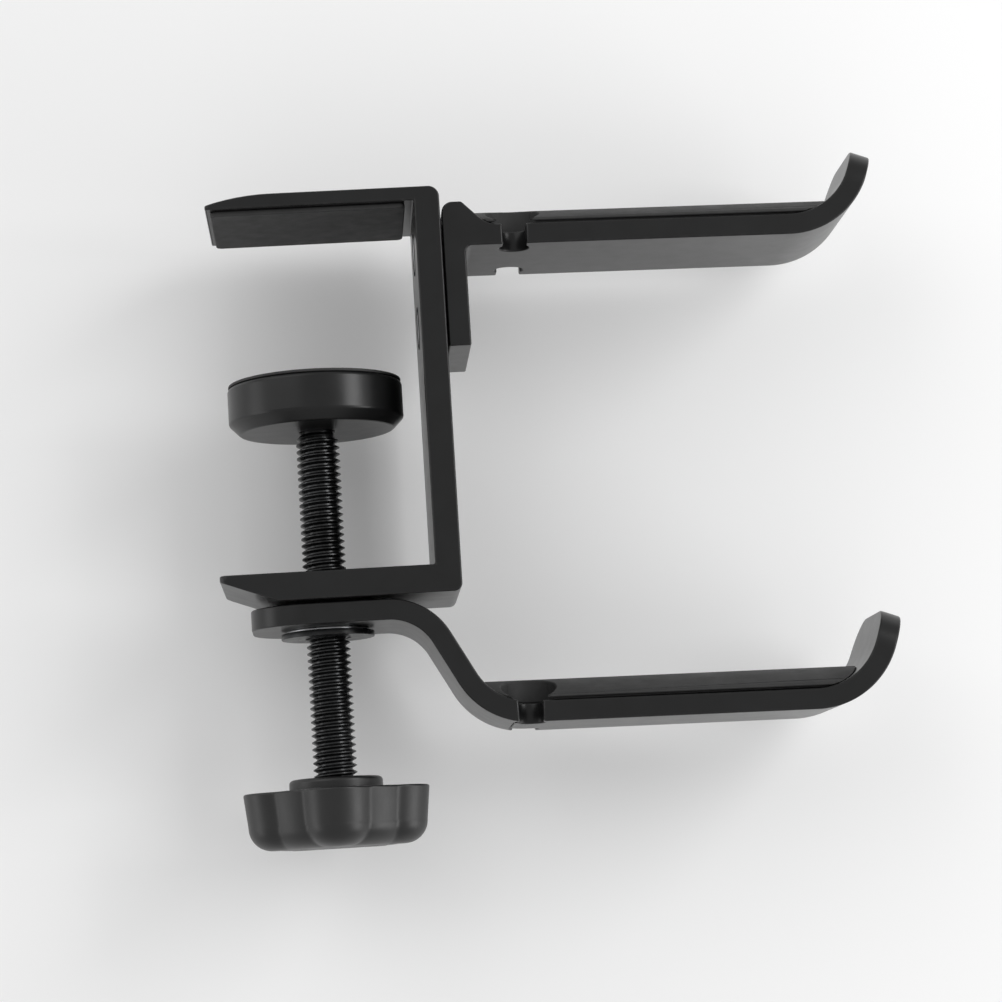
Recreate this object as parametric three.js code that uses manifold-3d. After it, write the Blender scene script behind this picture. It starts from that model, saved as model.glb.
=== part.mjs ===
// Double headphone hanger with a desk clamp. A C-shaped frame grips the desk between its upper jaw and a
// pressure disc on an M8 screw. A fixed hook is screwed to the frame's web, and a second hook swivels on
// the flanged bushing that the screw runs through, under the lower jaw.
//
// Millimetres, +Z up, +X from the clamp towards the hooks, +Y from the front edge to the back. The origin
// is on the screw's axis, in the plane where the upper jaw's rubber pad rests on the desk top.

import * as THREE from "three";
import { mergeVertices } from "three/addons/utils/BufferGeometryUtils.js";
import Module from "manifold-3d";

const wasm = await Module();
wasm.setup();

// ---------------------------------------------------------------- driving dimensions

const FIT_GAP = 0.2; // clearance round fixed pieces that sit in a hole
const REST_GAP = 0.1; // between a rubber pad and the sloping metal under it

// Clamp frame
const FRAME_WIDTH = 30;
const WEB_INNER_X = 19.9;
const WEB_THICKNESS = 4.7;
const THROAT = 67; // between the two jaws, metal to metal
const UPPER_JAW_THICKNESS = 2.55;
const LOWER_JAW_THICKNESS = 5.05;
const UPPER_TIP_X = -18.2;
const LOWER_TIP_X = -18.8;
const UPPER_TAPER_LENGTH = 12; // the upper jaw thins towards its tip on a long arc
const UPPER_TIP_THICKNESS = 0.8;
const LOWER_TAPER_LENGTH = 10.2; // the lower jaw is bevelled underneath
const LOWER_TIP_THICKNESS = 1.2;
const UPPER_CORNER_RADIUS = 2;
const LOWER_CORNER_RADIUS = 1.5;
const JAW_PLAN_RADIUS = 1.4;
const JAW_PAD_THICKNESS = 1;
const JAW_PAD_INSET = 1.6;
const JAW_PAD_TIP_INSET = 0.9;
const JAW_PAD_CORNER_RADIUS = 1.2;

// Both hooks
const HOOK_WIDTH = 27.6;
const PLATE_THICKNESS = 3.8;
const DROOP = 0.85; // degrees that each saddle falls towards its tip
const TIP_ANGLE = 69.3; // degrees from level
const TIP_BEND_RADIUS = 13.8; // at mid-thickness
const TIP_PLAN_RADIUS = 7;
const PAD_EDGE_HEIGHT = 1;
const PAD_CROWN_HEIGHT = 4.65;
const PAD_SIDE_INSET = 0.4;
const PAD_REBATE_HEIGHT = 0.5; // step under the pad's long edges
const PAD_REBATE_DEPTH = 0.9;
const NOTCH_MOUTH = 4.3;
const NOTCH_POCKET_RADIUS = 2.7;
const NOTCH_POCKET_INSET = 4.3; // pocket centre from the plate's edge
const PAD_HOLE_RADIUS = 5;

// Fixed upper hook
const BRACKET_GAP = 0.3;
const BRACKET_THICKNESS = 4.05;
const BRACKET_TOP_Z = 0.65;
const BRACKET_BOTTOM_Z = -26.2;
const BRACKET_ROUND = 2;
const BRACKET_CREST = 1.7; // length of the flat on top, before the ramp
const RAMP_ANGLE = 45;
const RAMP_RADIUS = 5;
const ROOT_FILLET = 1.3;
const UPPER_ARM_MID_Z = -5.76; // mid-thickness of the arm, where it leaves the bracket
const UPPER_ARM_START_X = 30;
const UPPER_ARM_RUN = 58.8;
const UPPER_TIP_RUN = 5.2;
const UPPER_NOTCH_X = 38.05;

// Swivelling lower hook
const SWIVEL_WASHER_THICKNESS = 0.6;
const SWIVEL_END_X = -13.8;
const SWIVEL_END_RADIUS = 10;
const SWIVEL_PLATE_RUN = 24.7;
const SHOULDER_RADIUS = 10.8;
const SLANT_ANGLE = 61;
const SLANT_RUN = 8.74;
const ELBOW_RADIUS = 12.8;
const LOWER_ARM_RUN = 51.7;
const LOWER_TIP_RUN = 6.7;
const LOWER_NOTCH_X = 35.6;

// Swivel bushing, with the M8 thread inside
const BUSHING_RADIUS = 6;
const BUSHING_RIM = 0.4; // staked edge that stands out of the lower jaw
const FLANGE_RADIUS = 8.55;
const FLANGE_THICKNESS = 1.05;
const SPRING_WASHER_THICKNESS = 0.5;
const SPRING_WASHER_RADIUS = 7.6;
const FRICTION_WASHER_RADIUS = 8.4;

// Screws that hold the bracket, M4 countersunk with a hexagon socket
const M4_RADIUS = 2;
const M4_HEAD_RADIUS = 3.8;
const M4_HEAD_HEIGHT = 2.2;
const M4_LENGTH = 8.2;
const M4_SOCKET_RADIUS = 1.45;
const M4_SOCKET_DEPTH = 1.4;
const HEXAGON_SIDES = 6;
const BRACKET_SCREW_Z = { upper_bracket_screw: -6, lower_bracket_screw: -20 };

// Clamp screw, M8
const SCREW_RADIUS = 4;
const SCREW_END_Z = -112.4;
const SCREW_CHAMFER = 1;
const NECK_RADIUS = 3;
const NECK_LENGTH = 0.4; // below the disc, before the thread
const BALL_RADIUS = 3.9;
const BALL_Z = -34.8;

// Pressure disc
const DISC_RADIUS = 16.2;
const DISC_BOTTOM_Z = -38.6;
const DISC_HEIGHT = 8.7;
const DISC_CHAMFER = 2;
const DISC_EDGE = 0.5;
const DISC_PAD_THICKNESS = 0.5;
const DISC_PAD_RADIUS = 16;
const DISC_LIP_RADIUS = 3.3; // swaged edge that keeps the ball in

// Knob
const LOBES = 5;
const LOBE_CENTRE_RADIUS = 10.8;
const LOBE_RADIUS = 6.6;
const KNOB_CORE_RADIUS = 14.9;
const KNOB_TOP_Z = -104.8;
const KNOB_HEIGHT = 10.4;
const KNOB_DRAFT = 0.65; // how much narrower the lobes are where the bottom rounding starts
const KNOB_BOTTOM_ROUND = 4.2;
const KNOB_TOP_ROUND = 0.4;
const KNOB_TURN = -90; // degrees: where the first lobe points
const COLLAR_RADIUS = 8.55;
const COLLAR_HEIGHT = 2.2;
const COLLAR_ROUND = 0.8;
const INSERT_RADIUS = 6;
const INSERT_LENGTH = 8;
const CAP_RADIUS = 7;
const CAP_THICKNESS = 1.1;

// Facets
const BEND_STEP = 10; // degrees
const ROUND_SIDES = 40;
const SMALL_SIDES = 24;
const KNOB_SIDES = 80;

// Tools that cut or trim a piece
const OVERRUN = 1; // past a level face
const TALL = 10; // past a face that slopes or bends
const LONG = 120; // past the end of either hook

// ---------------------------------------------------------------- derived positions

const jawUnderZ = JAW_PAD_THICKNESS;
const frameTopZ = jawUnderZ + UPPER_JAW_THICKNESS;
const lowerJawZ = jawUnderZ - THROAT;
const frameBottomZ = lowerJawZ - LOWER_JAW_THICKNESS;
const webOuterX = WEB_INNER_X + WEB_THICKNESS;
const bracketLeftX = webOuterX + BRACKET_GAP;
const bracketRightX = bracketLeftX + BRACKET_THICKNESS;
const plateTopZ = frameBottomZ - SWIVEL_WASHER_THICKNESS;
const plateBottomZ = plateTopZ - PLATE_THICKNESS;
const flangeTopZ = plateBottomZ - SPRING_WASHER_THICKNESS;
const discTopZ = DISC_BOTTOM_Z + DISC_HEIGHT;
const knobBottomZ = KNOB_TOP_Z - KNOB_HEIGHT;
const notchY = HOOK_WIDTH / 2 - NOTCH_POCKET_INSET;

// ---------------------------------------------------------------- shape helpers

const radians = THREE.MathUtils.degToRad;
const point = (x, y) => new THREE.Vector2(x, y);

// Points on an arc, from one angle to the other in degrees, ends included.
function arc(x, y, radius, from, to) {
  const count = Math.max(2, Math.ceil(Math.abs(to - from) / BEND_STEP));
  return Array.from({ length: count + 1 }, (_, i) => {
    const angle = radians(from + ((to - from) * i) / count);
    return point(x + radius * Math.cos(angle), y + radius * Math.sin(angle));
  });
}

// Points along a path of straight runs and bends, each moved `offset` to the left of the path. A step is
// { run } or { radius, turn }, with turn in degrees, positive to the left.
function trace(start, heading, steps, offset = 0) {
  const at = start.clone();
  let angle = radians(heading);
  const points = [];
  const mark = () => points.push(point(at.x - offset * Math.sin(angle), at.y + offset * Math.cos(angle)));
  const move = (length) => at.add(point(length * Math.cos(angle), length * Math.sin(angle)));
  mark();
  for (const { run, radius, turn } of steps) {
    if (run !== undefined) {
      move(run);
      mark();
      continue;
    }
    const count = Math.ceil(Math.abs(turn) / BEND_STEP);
    const half = radians(turn) / count / 2;
    for (let i = 0; i < count; i++) {
      angle += half;
      move(2 * radius * Math.sin(Math.abs(half)));
      angle += half;
      mark();
    }
  }
  return points;
}

// A prism of an outline in x and z, centred on y = 0.
function sidePrism(outline, width) {
  const shape = new THREE.Shape(outline);
  const geometry = new THREE.ExtrudeGeometry(shape, { depth: width, bevelEnabled: false });
  return geometry.rotateX(Math.PI / 2).translate(0, width / 2, 0);
}

// A prism of an outline in y and z, from one x to another.
function endPrism(outline, fromX, toX) {
  const shape = new THREE.Shape(outline);
  const geometry = new THREE.ExtrudeGeometry(shape, { depth: toX - fromX, bevelEnabled: false });
  const yzx = new THREE.Matrix4().makeBasis(
    new THREE.Vector3(0, 1, 0),
    new THREE.Vector3(0, 0, 1),
    new THREE.Vector3(1, 0, 0),
  );
  return geometry.applyMatrix4(yzx).translate(fromX, 0, 0);
}

// A prism of an outline in x and y, from one height to another.
function planPrism(outline, bottomZ, topZ) {
  const shape = new THREE.Shape(outline);
  const geometry = new THREE.ExtrudeGeometry(shape, { depth: topZ - bottomZ, bevelEnabled: false });
  return geometry.translate(0, 0, bottomZ);
}

// A turned piece on the z axis. The profile holds [radius, z] pairs, upwards on the outside.
function turned(profile, sides = ROUND_SIDES) {
  const points = profile.map(([radius, z]) => point(radius, z));
  return new THREE.LatheGeometry(points, sides).rotateX(Math.PI / 2);
}

// The closed profile of a tube.
function tube(inner, outer, bottomZ, topZ, sides = ROUND_SIDES) {
  return turned([[inner, bottomZ], [outer, bottomZ], [outer, topZ], [inner, topZ], [inner, bottomZ]], sides);
}

// The profile of a solid cylinder, closed on the axis.
function rod(radius, bottomZ, topZ, sides = SMALL_SIDES) {
  return turned([[0, bottomZ], [radius, bottomZ], [radius, topZ], [0, topZ]], sides);
}

// A rectangle in plan with its corners rounded.
function roundedPlan(minX, maxX, halfWidth, radius) {
  const [left, right, side] = [minX + radius, maxX - radius, halfWidth - radius];
  return [
    ...arc(left, -side, radius, 180, 270),
    ...arc(right, -side, radius, 270, 360),
    ...arc(right, side, radius, 0, 90),
    ...arc(left, side, radius, 90, 180),
  ];
}

// ---------------------------------------------------------------- solids and meshes

function toSolid(geometry) {
  const bare = geometry.clone();
  bare.deleteAttribute("normal");
  bare.deleteAttribute("uv");
  const merged = mergeVertices(bare);
  return new wasm.Manifold(
    new wasm.Mesh({
      numProp: 3,
      vertProperties: merged.attributes.position.array,
      triVerts: new Uint32Array(merged.index.array),
    }),
  );
}

function toGeometry(solid) {
  const { vertProperties, triVerts } = solid.getMesh();
  const geometry = new THREE.BufferGeometry();
  geometry.setAttribute("position", new THREE.BufferAttribute(vertProperties, 3));
  geometry.setIndex(new THREE.BufferAttribute(triVerts, 1));
  geometry.computeVertexNormals();
  return geometry;
}

// The first geometry with the others taken away.
function cut(geometry, ...tools) {
  return toGeometry(tools.reduce((solid, tool) => solid.subtract(toSolid(tool)), toSolid(geometry)));
}

// What two geometries have in common.
function common(first, second) {
  return toGeometry(toSolid(first).intersect(toSolid(second)));
}

const finishes = {
  coated: { color: 0x161617, roughness: 0.42, metalness: 0.5 },
  knob: { color: 0x1b1b1c, roughness: 0.4, metalness: 0.3 },
  screw: { color: 0x0c0c0d, roughness: 0.3, metalness: 0.9 },
  steel: { color: 0x8c8c8e, roughness: 0.35, metalness: 1 },
  rubber: { color: 0x242425, roughness: 0.75, metalness: 0 },
  nylon: { color: 0x1a1a1b, roughness: 0.55, metalness: 0 },
};

const hanger = new THREE.Group();

function addPiece(name, geometry, finish) {
  const mesh = new THREE.Mesh(geometry, new THREE.MeshStandardMaterial(finishes[finish]));
  mesh.name = name;
  hanger.add(mesh);
}

// ---------------------------------------------------------------- clamp frame and its pad

// The side view of the C, anticlockwise from the inner corner of the upper jaw.
function clampFrameOutline() {
  const taperDrop = UPPER_JAW_THICKNESS - UPPER_TIP_THICKNESS;
  const taperRadius = (UPPER_TAPER_LENGTH ** 2 + taperDrop ** 2) / (2 * taperDrop);
  const taperAngle = THREE.MathUtils.radToDeg(Math.asin(UPPER_TAPER_LENGTH / taperRadius));
  const taperX = UPPER_TIP_X + UPPER_TAPER_LENGTH;
  const upperCorner = [webOuterX - UPPER_CORNER_RADIUS, frameTopZ - UPPER_CORNER_RADIUS];
  const lowerCorner = [webOuterX - LOWER_CORNER_RADIUS, frameBottomZ + LOWER_CORNER_RADIUS];
  return [
    point(WEB_INNER_X, jawUnderZ),
    point(WEB_INNER_X, lowerJawZ),
    point(LOWER_TIP_X, lowerJawZ),
    point(LOWER_TIP_X, lowerJawZ - LOWER_TIP_THICKNESS),
    point(LOWER_TIP_X + LOWER_TAPER_LENGTH, frameBottomZ),
    ...arc(...lowerCorner, LOWER_CORNER_RADIUS, -90, 0),
    ...arc(...upperCorner, UPPER_CORNER_RADIUS, 0, 90),
    ...arc(taperX, frameTopZ - taperRadius, taperRadius, 90, 90 + taperAngle),
    point(UPPER_TIP_X, jawUnderZ),
  ];
}

// The hole for a bracket screw, countersunk from the inner face of the web.
function bracketScrewHole(z) {
  const profile = [
    [0, -OVERRUN],
    [M4_HEAD_RADIUS + FIT_GAP, -OVERRUN],
    [M4_HEAD_RADIUS + FIT_GAP, FIT_GAP],
    [M4_RADIUS + FIT_GAP, M4_HEAD_HEIGHT + FIT_GAP],
    [M4_RADIUS + FIT_GAP, M4_LENGTH + FIT_GAP],
    [0, M4_LENGTH + FIT_GAP],
  ];
  return turned(profile, SMALL_SIDES).rotateY(Math.PI / 2).translate(WEB_INNER_X, 0, z);
}

function clampFrame() {
  const bar = sidePrism(clampFrameOutline(), FRAME_WIDTH);
  const plan = roundedPlan(LOWER_TIP_X, webOuterX + JAW_PLAN_RADIUS, FRAME_WIDTH / 2, JAW_PLAN_RADIUS);
  const holeRadius = BUSHING_RADIUS + FIT_GAP;
  const bushingHole = rod(holeRadius, frameBottomZ - OVERRUN, lowerJawZ + OVERRUN, ROUND_SIDES);
  const screwHoles = Object.values(BRACKET_SCREW_Z).map(bracketScrewHole);
  const rounded = common(bar, planPrism(plan, frameBottomZ - OVERRUN, frameTopZ + OVERRUN));
  return cut(rounded, bushingHole, ...screwHoles);
}

function jawPad() {
  const [fromX, toX] = [UPPER_TIP_X + JAW_PAD_TIP_INSET, WEB_INNER_X - JAW_PAD_INSET];
  const plan = roundedPlan(fromX, toX, FRAME_WIDTH / 2 - JAW_PAD_INSET, JAW_PAD_CORNER_RADIUS);
  return planPrism(plan, 0, JAW_PAD_THICKNESS);
}

addPiece("clamp_frame", clampFrame(), "coated");
addPiece("jaw_pad", jawPad(), "rubber");

// ---------------------------------------------------------------- what both hooks share

// A keyhole from one edge of the plate: a mouth that a cable is pushed through, and a round pocket.
function notchTool(x, side, bottomZ, topZ) {
  const pocket = rod(NOTCH_POCKET_RADIUS, bottomZ, topZ).translate(x, side * notchY, 0);
  const mouthOutline = [
    point(x - NOTCH_MOUTH / 2, side * notchY),
    point(x + NOTCH_MOUTH / 2, side * notchY),
    point(x + NOTCH_MOUTH / 2, side * HOOK_WIDTH),
    point(x - NOTCH_MOUTH / 2, side * HOOK_WIDTH),
  ];
  const mouth = planPrism(mouthOutline, bottomZ, topZ);
  return toGeometry(toSolid(pocket).add(toSolid(mouth)));
}

// The tool that rounds one outer corner of a tip, in the plane of the plate. End is the middle of the
// plate's end in side view.
function tipCornerTool(side, end) {
  const centre = HOOK_WIDTH / 2 - TIP_PLAN_RADIUS;
  const outline = [
    ...arc(centre, -TIP_PLAN_RADIUS, TIP_PLAN_RADIUS, 90, 0),
    point(HOOK_WIDTH, -TIP_PLAN_RADIUS),
    point(HOOK_WIDTH, OVERRUN),
    point(centre, OVERRUN),
  ];
  const mirrored = outline.map(({ x, y }) => point(side * x, y));
  const corner = endPrism(mirrored, -PLATE_THICKNESS, PLATE_THICKNESS);
  return corner.rotateY(radians(90 - TIP_ANGLE)).translate(end.x, 0, end.y);
}

// A hook's plate: its outline as a prism, with two notches and a rounded tip.
function hookPlate(outline, end, notchX, bottomZ, topZ) {
  const tools = [-1, 1].flatMap((side) => [
    notchTool(notchX, side, bottomZ, topZ),
    tipCornerTool(side, end),
  ]);
  return cut(sidePrism(outline, HOOK_WIDTH), ...tools);
}

// A saddle pad: flat underneath and crowned across, filling the space between a hook's two bends. The
// space is an outline in side view that follows the plate's upper face; start is a point of that face.
function saddlePad(space, start, notchX) {
  const half = HOOK_WIDTH / 2 - PAD_SIDE_INSET;
  const rise = PAD_CROWN_HEIGHT - PAD_EDGE_HEIGHT;
  const radius = (half ** 2 + rise ** 2) / (2 * rise);
  const angle = THREE.MathUtils.radToDeg(Math.asin(half / radius));
  const crown = arc(0, PAD_CROWN_HEIGHT - radius, radius, 90 - angle, 90 + angle);
  const foot = half - PAD_REBATE_DEPTH;
  const right = [
    point(foot, REST_GAP - OVERRUN),
    point(foot, PAD_REBATE_HEIGHT),
    point(half, PAD_REBATE_HEIGHT),
  ];
  const left = right.map(({ x, y }) => point(-x, y)).reverse();
  const section = [...right, ...crown, ...left];
  const bar = endPrism(section, -LONG, LONG).rotateY(radians(DROOP)).translate(start.x, 0, start.y);
  const holes = [-1, 1].map((side) =>
    rod(PAD_HOLE_RADIUS, start.y - TALL, start.y + TALL).translate(notchX, side * notchY, 0),
  );
  return cut(common(bar, sidePrism(space, HOOK_WIDTH)), ...holes);
}

// ---------------------------------------------------------------- fixed upper hook

const upperArmStart = point(UPPER_ARM_START_X, UPPER_ARM_MID_Z);
const upperArmSteps = [
  { run: UPPER_ARM_RUN },
  { radius: TIP_BEND_RADIUS, turn: TIP_ANGLE + DROOP },
  { run: UPPER_TIP_RUN },
];

// The ramp from the bracket's crest down to the arm's upper face.
function rampPoints(offset) {
  const crestX = bracketLeftX + BRACKET_ROUND + BRACKET_CREST;
  const turn = RAMP_ANGLE - DROOP;
  const slope = Math.tan(radians(DROOP));
  const armTopZ = UPPER_ARM_MID_Z + PLATE_THICKNESS / 2;
  const aboveArm = BRACKET_TOP_Z - armTopZ + slope * (crestX - UPPER_ARM_START_X);
  const drop = aboveArm / (1 - slope / Math.tan(radians(RAMP_ANGLE)));
  const run = drop / Math.sin(radians(RAMP_ANGLE)) - RAMP_RADIUS * Math.tan(radians(turn / 2));
  return trace(point(crestX, BRACKET_TOP_Z), -RAMP_ANGLE, [{ run }, { radius: RAMP_RADIUS, turn }], offset);
}

function upperHookOutline() {
  const half = PLATE_THICKNESS / 2;
  const above = trace(upperArmStart, -DROOP, upperArmSteps, half).slice(1);
  const below = trace(upperArmStart, -DROOP, upperArmSteps, -half).slice(1);
  const filletX = bracketRightX + ROOT_FILLET;
  const filletZ = UPPER_ARM_MID_Z - half - ROOT_FILLET;
  return [
    ...arc(bracketLeftX + BRACKET_ROUND, BRACKET_TOP_Z - BRACKET_ROUND, BRACKET_ROUND, 180, 90),
    ...rampPoints(0),
    ...above,
    ...below.reverse(),
    ...arc(filletX, filletZ, ROOT_FILLET, 90, 180),
    point(bracketRightX, BRACKET_BOTTOM_Z),
    point(bracketLeftX, BRACKET_BOTTOM_Z),
  ];
}

function upperHook() {
  const [bottomZ, topZ] = [UPPER_ARM_MID_Z - TALL, UPPER_ARM_MID_Z + TALL];
  const end = trace(upperArmStart, -DROOP, upperArmSteps).at(-1);
  const plate = hookPlate(upperHookOutline(), end, UPPER_NOTCH_X, bottomZ, topZ);
  return cut(plate, ...Object.values(BRACKET_SCREW_Z).map(bracketScrewHole));
}

function upperHookPad() {
  const lift = PLATE_THICKNESS / 2 + REST_GAP;
  const space = [...rampPoints(REST_GAP), ...trace(upperArmStart, -DROOP, upperArmSteps, lift).slice(1)];
  const foot = point(UPPER_ARM_START_X, UPPER_ARM_MID_Z + PLATE_THICKNESS / 2);
  return saddlePad(space, foot, UPPER_NOTCH_X);
}

// A bracket screw with its head flush in the web.
function bracketScrew(z) {
  const profile = [
    [0, 0],
    [M4_HEAD_RADIUS, 0],
    [M4_RADIUS, M4_HEAD_HEIGHT],
    [M4_RADIUS, M4_LENGTH],
    [0, M4_LENGTH],
  ];
  const socket = rod(M4_SOCKET_RADIUS, -OVERRUN, M4_SOCKET_DEPTH, HEXAGON_SIDES);
  return cut(turned(profile, SMALL_SIDES), socket).rotateY(Math.PI / 2).translate(WEB_INNER_X, 0, z);
}

addPiece("upper_hook", upperHook(), "coated");
addPiece("upper_hook_pad", upperHookPad(), "rubber");
for (const [name, z] of Object.entries(BRACKET_SCREW_Z)) addPiece(name, bracketScrew(z), "steel");

// ---------------------------------------------------------------- swivelling lower hook

const swivelStart = point(SWIVEL_END_X, plateTopZ - PLATE_THICKNESS / 2);
const swivelSteps = [
  { run: SWIVEL_PLATE_RUN },
  { radius: SHOULDER_RADIUS, turn: -SLANT_ANGLE },
  { run: SLANT_RUN },
  { radius: ELBOW_RADIUS, turn: SLANT_ANGLE - DROOP },
  { run: LOWER_ARM_RUN },
  { radius: TIP_BEND_RADIUS, turn: TIP_ANGLE + DROOP },
  { run: LOWER_TIP_RUN },
];

function swivelArm() {
  const half = PLATE_THICKNESS / 2;
  const above = trace(swivelStart, 0, swivelSteps, half);
  const below = trace(swivelStart, 0, swivelSteps, -half);
  const lowZ = Math.min(...below.map(({ y }) => y));
  const outline = [...above, ...below.reverse()];
  const end = trace(swivelStart, 0, swivelSteps).at(-1);
  const plate = hookPlate(outline, end, LOWER_NOTCH_X, lowZ - OVERRUN, lowZ + TALL);
  const plan = roundedPlan(SWIVEL_END_X, LONG, HOOK_WIDTH / 2, SWIVEL_END_RADIUS);
  const rounded = common(plate, planPrism(plan, lowZ - OVERRUN, plateTopZ + OVERRUN));
  const holeRadius = BUSHING_RADIUS + FIT_GAP;
  return cut(rounded, rod(holeRadius, plateBottomZ - OVERRUN, plateTopZ + OVERRUN, ROUND_SIDES));
}

function swivelArmPad() {
  const lift = PLATE_THICKNESS / 2 + REST_GAP;
  const face = trace(swivelStart, 0, swivelSteps, lift);
  const shoulderEnd = 1 + Math.ceil(SLANT_ANGLE / BEND_STEP);
  const elbowEnd = shoulderEnd + 1 + Math.ceil((SLANT_ANGLE - DROOP) / BEND_STEP);
  const foot = face[elbowEnd].clone().sub(point(0, REST_GAP));
  return saddlePad(face.slice(shoulderEnd), foot, LOWER_NOTCH_X);
}

addPiece("swivel_arm", swivelArm(), "coated");
addPiece("swivel_arm_pad", swivelArmPad(), "rubber");

// ---------------------------------------------------------------- swivel bushing and washers

function swivelBushing() {
  const bore = SCREW_RADIUS + FIT_GAP;
  const topZ = lowerJawZ + BUSHING_RIM;
  const bottomZ = flangeTopZ - FLANGE_THICKNESS;
  return turned([
    [bore, bottomZ],
    [FLANGE_RADIUS, bottomZ],
    [FLANGE_RADIUS, flangeTopZ],
    [BUSHING_RADIUS, flangeTopZ],
    [BUSHING_RADIUS, topZ],
    [bore, topZ],
    [bore, bottomZ],
  ]);
}

addPiece("swivel_bushing", swivelBushing(), "screw");
addPiece(
  "friction_washer",
  tube(BUSHING_RADIUS + FIT_GAP, FRICTION_WASHER_RADIUS, plateTopZ, frameBottomZ),
  "nylon",
);
addPiece(
  "spring_washer",
  tube(BUSHING_RADIUS + FIT_GAP, SPRING_WASHER_RADIUS, flangeTopZ, plateBottomZ),
  "steel",
);

// ---------------------------------------------------------------- pressure disc

// The disc, with a socket for the screw's ball, which a swaged lip underneath keeps in.
function pressureDisc() {
  const socketRadius = BALL_RADIUS + FIT_GAP;
  const lipAngle = THREE.MathUtils.radToDeg(Math.acos(DISC_LIP_RADIUS / socketRadius));
  const socket = arc(0, BALL_Z, socketRadius, 90, -lipAngle).map(({ x, y }) => [x, y]);
  return turned([
    [0, BALL_Z + socketRadius],
    ...socket.slice(1),
    [DISC_LIP_RADIUS, DISC_BOTTOM_Z],
    [DISC_RADIUS - DISC_CHAMFER, DISC_BOTTOM_Z],
    [DISC_RADIUS, DISC_BOTTOM_Z + DISC_CHAMFER],
    [DISC_RADIUS, discTopZ - DISC_EDGE],
    [DISC_RADIUS - DISC_EDGE, discTopZ],
    [0, discTopZ],
  ]);
}

addPiece("pressure_disc", pressureDisc(), "coated");
addPiece(
  "pressure_disc_pad",
  rod(DISC_PAD_RADIUS, discTopZ, discTopZ + DISC_PAD_THICKNESS, ROUND_SIDES),
  "rubber",
);

// ---------------------------------------------------------------- clamp screw

// The screw: a ball end, a plain neck, and the M8 thread as a plain rod of its outside diameter.
function clampScrew() {
  const neckTop = Math.asin(NECK_RADIUS / BALL_RADIUS);
  const ball = arc(0, BALL_Z, BALL_RADIUS, THREE.MathUtils.radToDeg(neckTop) - 90, 90);
  const neckEndZ = DISC_BOTTOM_Z - NECK_LENGTH;
  return turned(
    [
      [0, SCREW_END_Z],
      [SCREW_RADIUS - SCREW_CHAMFER, SCREW_END_Z],
      [SCREW_RADIUS, SCREW_END_Z + SCREW_CHAMFER],
      [SCREW_RADIUS, neckEndZ - SCREW_CHAMFER],
      [SCREW_RADIUS - SCREW_CHAMFER, neckEndZ],
      [NECK_RADIUS, neckEndZ],
      ...ball.slice(0, -1).map(({ x, y }) => [x, y]),
      [0, BALL_Z + BALL_RADIUS],
    ],
    SMALL_SIDES,
  );
}

addPiece("clamp_screw", clampScrew(), "screw");

// ---------------------------------------------------------------- knob

// How far the lobed outline is from the axis in one direction, with the outline drawn in by `inset`.
function knobReach(angle, inset) {
  const lobeStep = (2 * Math.PI) / LOBES;
  const fromLobe = Math.abs(THREE.MathUtils.euclideanModulo(angle + lobeStep / 2, lobeStep) - lobeStep / 2);
  const across = LOBE_CENTRE_RADIUS * Math.sin(fromLobe);
  const lobe = Math.max(0, (LOBE_RADIUS - inset) ** 2 - across ** 2);
  const lobeReach = lobe > 0 ? LOBE_CENTRE_RADIUS * Math.cos(fromLobe) + Math.sqrt(lobe) : 0;
  return Math.max(lobeReach, KNOB_CORE_RADIUS - inset);
}

// The knob: five lobes with drafted sides and a deep rounding underneath, bored for the insert and the cap.
function knob() {
  const roundZ = knobBottomZ + KNOB_BOTTOM_ROUND;
  const corner = arc(0, 0, KNOB_BOTTOM_ROUND, -90, 0).map(({ x, y }) => ({
    inset: KNOB_DRAFT + KNOB_BOTTOM_ROUND - x,
    z: roundZ + y,
  }));
  const rings = [
    ...corner,
    { inset: KNOB_TOP_ROUND / 2, z: KNOB_TOP_Z - KNOB_TOP_ROUND },
    { inset: KNOB_TOP_ROUND, z: KNOB_TOP_Z },
  ];
  const levels = [point(0, 0), ...rings.map((_, i) => point(1, i)), point(0, rings.length)];
  const body = new THREE.LatheGeometry(levels, KNOB_SIDES);
  const position = body.attributes.position;
  for (let i = 0; i < position.count; i++) {
    const [x, level, z] = [position.getX(i), position.getY(i), position.getZ(i)];
    const onAxis = Math.hypot(x, z) < 0.5;
    const ring = rings[Math.min(Math.round(level), rings.length - 1)];
    const angle = Math.atan2(-z, x);
    const reach = onAxis ? 0 : knobReach(angle, ring.inset);
    position.setXYZ(i, reach * Math.cos(angle), ring.z, -reach * Math.sin(angle));
  }
  body.rotateX(Math.PI / 2).rotateZ(radians(KNOB_TURN));
  const insertEndZ = KNOB_TOP_Z - INSERT_LENGTH - FIT_GAP;
  const insertHole = rod(INSERT_RADIUS + FIT_GAP, insertEndZ, KNOB_TOP_Z + OVERRUN);
  const capTopZ = knobBottomZ + CAP_THICKNESS + FIT_GAP;
  const capSeat = rod(CAP_RADIUS + FIT_GAP, knobBottomZ - OVERRUN, capTopZ);
  return cut(body, insertHole, capSeat);
}

// The round collar on the knob, which meets the bushing's flange when the clamp is fully closed.
function knobCollar() {
  const bore = SCREW_RADIUS + FIT_GAP;
  const topZ = KNOB_TOP_Z + COLLAR_HEIGHT;
  const rounding = arc(COLLAR_RADIUS - COLLAR_ROUND, topZ - COLLAR_ROUND, COLLAR_ROUND, 0, 90);
  return turned([
    [bore, KNOB_TOP_Z],
    [COLLAR_RADIUS, KNOB_TOP_Z],
    ...rounding.map(({ x, y }) => [x, y]),
    [bore, topZ],
    [bore, KNOB_TOP_Z],
  ]);
}

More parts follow.
